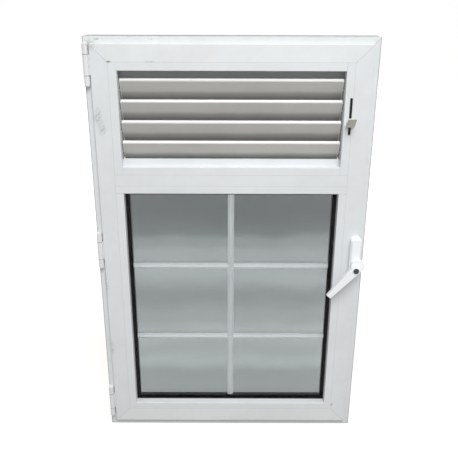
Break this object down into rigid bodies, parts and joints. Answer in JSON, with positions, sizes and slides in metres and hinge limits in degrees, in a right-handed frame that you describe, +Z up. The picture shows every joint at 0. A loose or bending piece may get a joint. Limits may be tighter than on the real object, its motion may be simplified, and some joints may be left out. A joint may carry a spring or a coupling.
{
  "type": "hinged aluminium window with a louvred upper light",
  "caption": "White aluminium window with a fixed double-glazed lower light, a slatted vent above, side hinges and a lever handle.",
  "frame": {"origin": "middle of the sill's flat underside, midway through the frame's depth", "axes": "+Z up, +X along the sill to the handle side, +Y outdoors, -Y to the room"},
  "size_m": [0.7, 0.0989, 1.1],
  "materials": {
    "white_paint": "white powder coat on extruded aluminium, satin",
    "slat_paint": "white powder coat on hollow aluminium slats, satin",
    "grey_plastic": "pale grey moulded end caps with pins",
    "clear_glass": "clear float glass, faintly green",
    "black_spacer": "black spacer bar with its edge seal",
    "black_rubber": "black extruded rubber gasket",
    "bare_steel": "plain zinc-plated steel",
    "beige_plastic": "beige-grey moulded plastic, matt",
    "handle_white": "glossy white paint on cast metal",
    "dark_cap": "dark grey round cap",
    "hinge_white": "white paint on extruded knuckles"
  },
  "bodies": {
    "window": {"frame_head": "white_paint", "frame_sill": "white_paint", "frame_jamb_left": "white_paint", "frame_jamb_right": "white_paint", "sash_top_rail": "white_paint", "sash_bottom_rail": "white_paint", "sash_stile_left": "white_paint", "sash_stile_right": "white_paint", "sash_transom": "white_paint", "glazing_bead_top": "white_paint", "glazing_bead_bottom": "white_paint", "glazing_bead_left": "white_paint", "glazing_bead_right": "white_paint", "glass_inner": "clear_glass", "glass_outer": "clear_glass", "glass_spacer": "black_spacer", "glazing_gaskets": "black_rubber", "sash_seals": "black_rubber", "louvre_side_left": "white_paint", "louvre_side_right": "white_paint", "louvre_rail_top": "white_paint", "louvre_rail_bottom": "white_paint", "handle_base": "handle_white", "hinge_top_frame_leaf": "hinge_white", "hinge_top_sash_leaf": "hinge_white", "hinge_top_pin": "bare_steel", "hinge_middle_frame_leaf": "hinge_white", "hinge_middle_sash_leaf": "hinge_white", "hinge_middle_pin": "bare_steel", "hinge_bottom_frame_leaf": "hinge_white", "hinge_bottom_sash_leaf": "hinge_white", "hinge_bottom_pin": "bare_steel"},
    "handle_lever": {"handle_lever": "handle_white", "handle_cap": "dark_cap"},
    "louvre_pull": {"louvre_drive_bar": "bare_steel", "louvre_pull_tab": "beige_plastic"},
    "slat_1": {"louvre_slat_1": "slat_paint", "slat_1_caps": "grey_plastic"},
    "slat_2": {"louvre_slat_2": "slat_paint", "slat_2_caps": "grey_plastic"},
    "slat_3": {"louvre_slat_3": "slat_paint", "slat_3_caps": "grey_plastic"},
    "slat_4": {"louvre_slat_4": "slat_paint", "slat_4_caps": "grey_plastic"}
  },
  "joints": [
    {"name": "handle_turn", "type": "hinge", "parent": "window", "child": "handle_lever", "pos_m": [0.3258, -0.049, 0.52], "axis": [0, 1, 0], "range_deg": [-41, 49]},
    {"name": "louvre_slide", "type": "slide", "parent": "window", "child": "louvre_pull", "axis": [0, 0, 1], "range_m": [-0.013, 0.058]},
    {"name": "slat_1_tilt", "type": "hinge", "parent": "window", "child": "slat_1", "pos_m": [0, -0.005, 0.9752], "axis": [1, 0, 0], "range_deg": [-13.2, 58.2]},
    {"name": "slat_2_tilt", "type": "hinge", "parent": "window", "child": "slat_2", "pos_m": [0, -0.005, 0.9244], "axis": [1, 0, 0], "range_deg": [-13.2, 58.2]},
    {"name": "slat_3_tilt", "type": "hinge", "parent": "window", "child": "slat_3", "pos_m": [0, -0.005, 0.8736], "axis": [1, 0, 0], "range_deg": [-13.2, 58.2]},
    {"name": "slat_4_tilt", "type": "hinge", "parent": "window", "child": "slat_4", "pos_m": [0, -0.005, 0.8228], "axis": [1, 0, 0], "range_deg": [-13.2, 58.2]}
  ],
  "couplings": [
    {"joint": "slat_1_tilt", "follows": "louvre_slide", "rad_per_m": 17.453},
    {"joint": "slat_2_tilt", "follows": "louvre_slide", "rad_per_m": 17.453},
    {"joint": "slat_3_tilt", "follows": "louvre_slide", "rad_per_m": 17.453},
    {"joint": "slat_4_tilt", "follows": "louvre_slide", "rad_per_m": 17.453}
  ]
}
